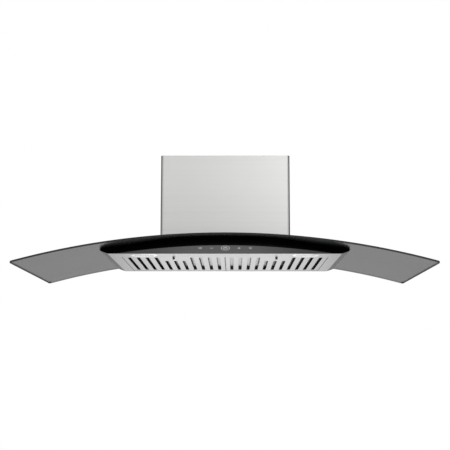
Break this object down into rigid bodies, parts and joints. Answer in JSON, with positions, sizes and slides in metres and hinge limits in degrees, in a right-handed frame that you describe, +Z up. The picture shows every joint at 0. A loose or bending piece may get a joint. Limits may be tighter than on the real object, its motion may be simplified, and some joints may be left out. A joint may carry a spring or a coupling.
{
  "type": "wall-mounted range hood",
  "caption": "Wall range hood with a long arched smoked-glass canopy, slim steel body with slotted grease filters, sloping touch panel and a steel chimney.",
  "frame": {"origin": "middle of the four wall bolts of the blower box, in the plane of the wall", "axes": "+X along the wall to the right, +Y into the wall, +Z up; the hood faces -Y"},
  "size_m": [0.9, 0.49, 0.2764],
  "materials": {
    "smoked_glass": "polished, grey tinted, black printed border over the body",
    "black_rubber": "matt",
    "bright_steel": "bright zinc",
    "coated_steel": "dark grey satin coat",
    "brushed_steel": "fine brushed",
    "zinc_steel": "zinc coated sheet",
    "gloss_black": "high gloss",
    "panel_glass": "smooth gloss",
    "circuit_board": "solder mask",
    "matt_black": "moulded",
    "matt_white": "moulded",
    "cast_aluminium": "as cast",
    "polished_steel": "polished",
    "milky_lens": "milky diffuser"
  },
  "bodies": {
    "hood": {"glass_canopy": "smoked_glass", "glass_seal": "black_rubber", "glass_washers": "black_rubber", "glass_screws": "bright_steel", "body_shell": "coated_steel", "bottom_plate": "brushed_steel", "centre_rail": "coated_steel", "front_fascia": "gloss_black", "control_panel": "panel_glass", "control_board": "circuit_board", "lamp_driver": "matt_black", "blower_box": "zinc_steel", "blower_lid": "zinc_steel", "wall_plate": "zinc_steel", "scroll_screws": "bright_steel", "fan_motor": "cast_aluminium", "motor_bracket": "zinc_steel", "run_capacitor": "matt_white", "capacitor_clip": "zinc_steel", "duct_collar": "matt_black", "flap_pins": "bright_steel", "chimney_cover": "brushed_steel", "control_case": "matt_white", "control_case_lid": "matt_white", "relay_board": "circuit_board", "cable_gland": "matt_black", "gland_nut": "matt_black", "scroll_half_left": "matt_black", "lamp_bezel_left": "polished_steel", "lamp_lens_left": "milky_lens", "lamp_housing_left": "cast_aluminium", "scroll_half_right": "matt_black", "lamp_bezel_right": "polished_steel", "lamp_lens_right": "milky_lens", "lamp_housing_right": "cast_aluminium"},
    "filter_left": {"filter_tray_left": "brushed_steel", "filter_baffles_left": "brushed_steel", "filter_tongues_left": "brushed_steel", "filter_guide_left": "brushed_steel"},
    "catch_left": {"filter_catch_left": "brushed_steel", "filter_knob_left": "matt_black"},
    "filter_right": {"filter_tray_right": "brushed_steel", "filter_baffles_right": "brushed_steel", "filter_tongues_right": "brushed_steel", "filter_guide_right": "brushed_steel"},
    "catch_right": {"filter_catch_right": "brushed_steel", "filter_knob_right": "matt_black"},
    "fan": {"fan_wheel": "zinc_steel", "wheel_blades": "zinc_steel", "wheel_rings": "zinc_steel", "motor_shaft": "bright_steel", "wheel_nut": "bright_steel"},
    "flap_front": {"duct_flap_front": "matt_black"},
    "flap_rear": {"duct_flap_rear": "matt_black"},
    "flue": {"flue_cover": "brushed_steel", "flue_bracket": "zinc_steel", "flue_screws": "bright_steel"}
  },
  "joints": [
    {"name": "filter_left_hinge", "type": "hinge", "parent": "hood", "child": "filter_left", "pos_m": [-0.1161, -0.017, -0.132], "axis": [1, 0, 0], "range_deg": [0, 75]},
    {"name": "catch_left_slide", "type": "slide", "parent": "filter_left", "child": "catch_left", "axis": [0, 1, 0], "range_m": [0, 0.006], "stiffness_N_per_m": 200, "springref_m": -0.005},
    {"name": "filter_right_hinge", "type": "hinge", "parent": "hood", "child": "filter_right", "pos_m": [0.1161, -0.017, -0.132], "axis": [1, 0, 0], "range_deg": [0, 75]},
    {"name": "catch_right_slide", "type": "slide", "parent": "filter_right", "child": "catch_right", "axis": [0, 1, 0], "range_m": [0, 0.006], "stiffness_N_per_m": 200, "springref_m": -0.005},
    {"name": "fan_spin", "type": "hinge", "parent": "hood", "child": "fan", "pos_m": [0, -0.16, -0.015], "axis": [1, 0, 0], "continuous": true},
    {"name": "flap_front_hinge", "type": "hinge", "parent": "hood", "child": "flap_front", "pos_m": [0, -0.11145, 0.0874], "axis": [-1, 0, 0], "range_deg": [0, 75]},
    {"name": "flap_rear_hinge", "type": "hinge", "parent": "hood", "child": "flap_rear", "pos_m": [0, -0.10305, 0.0874], "axis": [1, 0, 0], "range_deg": [0, 75]},
    {"name": "flue_slide", "type": "slide", "parent": "hood", "child": "flue", "axis": [0, 0, 1], "range_m": [0, 0.15]}
  ]
}
